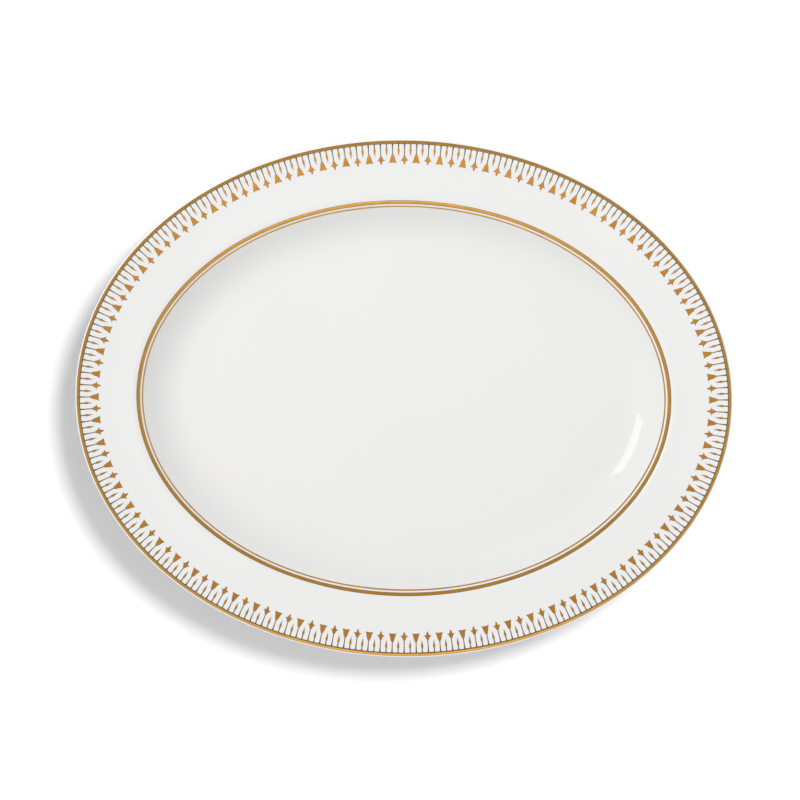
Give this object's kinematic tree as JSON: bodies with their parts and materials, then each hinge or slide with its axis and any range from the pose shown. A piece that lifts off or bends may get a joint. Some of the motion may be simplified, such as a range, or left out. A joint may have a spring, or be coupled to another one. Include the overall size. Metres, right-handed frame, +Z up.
{
  "type": "oval serving platter",
  "caption": "Oval porcelain serving platter with a broad rim, a shallow well, a foot ring and gilded edge, flower frieze and verge lines.",
  "frame": {"origin": "centre of the oval, on the surface that the foot ring stands on", "axes": "+X along the long axis of the oval, +Y along the short axis, +Z up out of the well"},
  "size_m": [0.33, 0.26, 0.0283],
  "materials": {
    "glazed_porcelain": "white hard-paste porcelain under a clear gloss glaze",
    "bare_porcelain": "unglazed fired porcelain, wiped and ground smooth",
    "burnished_gold": "hand-painted gold, burnished to a soft shine",
    "printed_gold": "printed gold with darker, thinner stems"
  },
  "bodies": {
    "root": {"platter_body": "glazed_porcelain", "foot_ring": "bare_porcelain", "gilt_edge_band": "burnished_gold", "gilt_frieze": "printed_gold", "gilt_verge_band": "burnished_gold", "gilt_verge_line": "burnished_gold"}
  },
  "joints": []
}
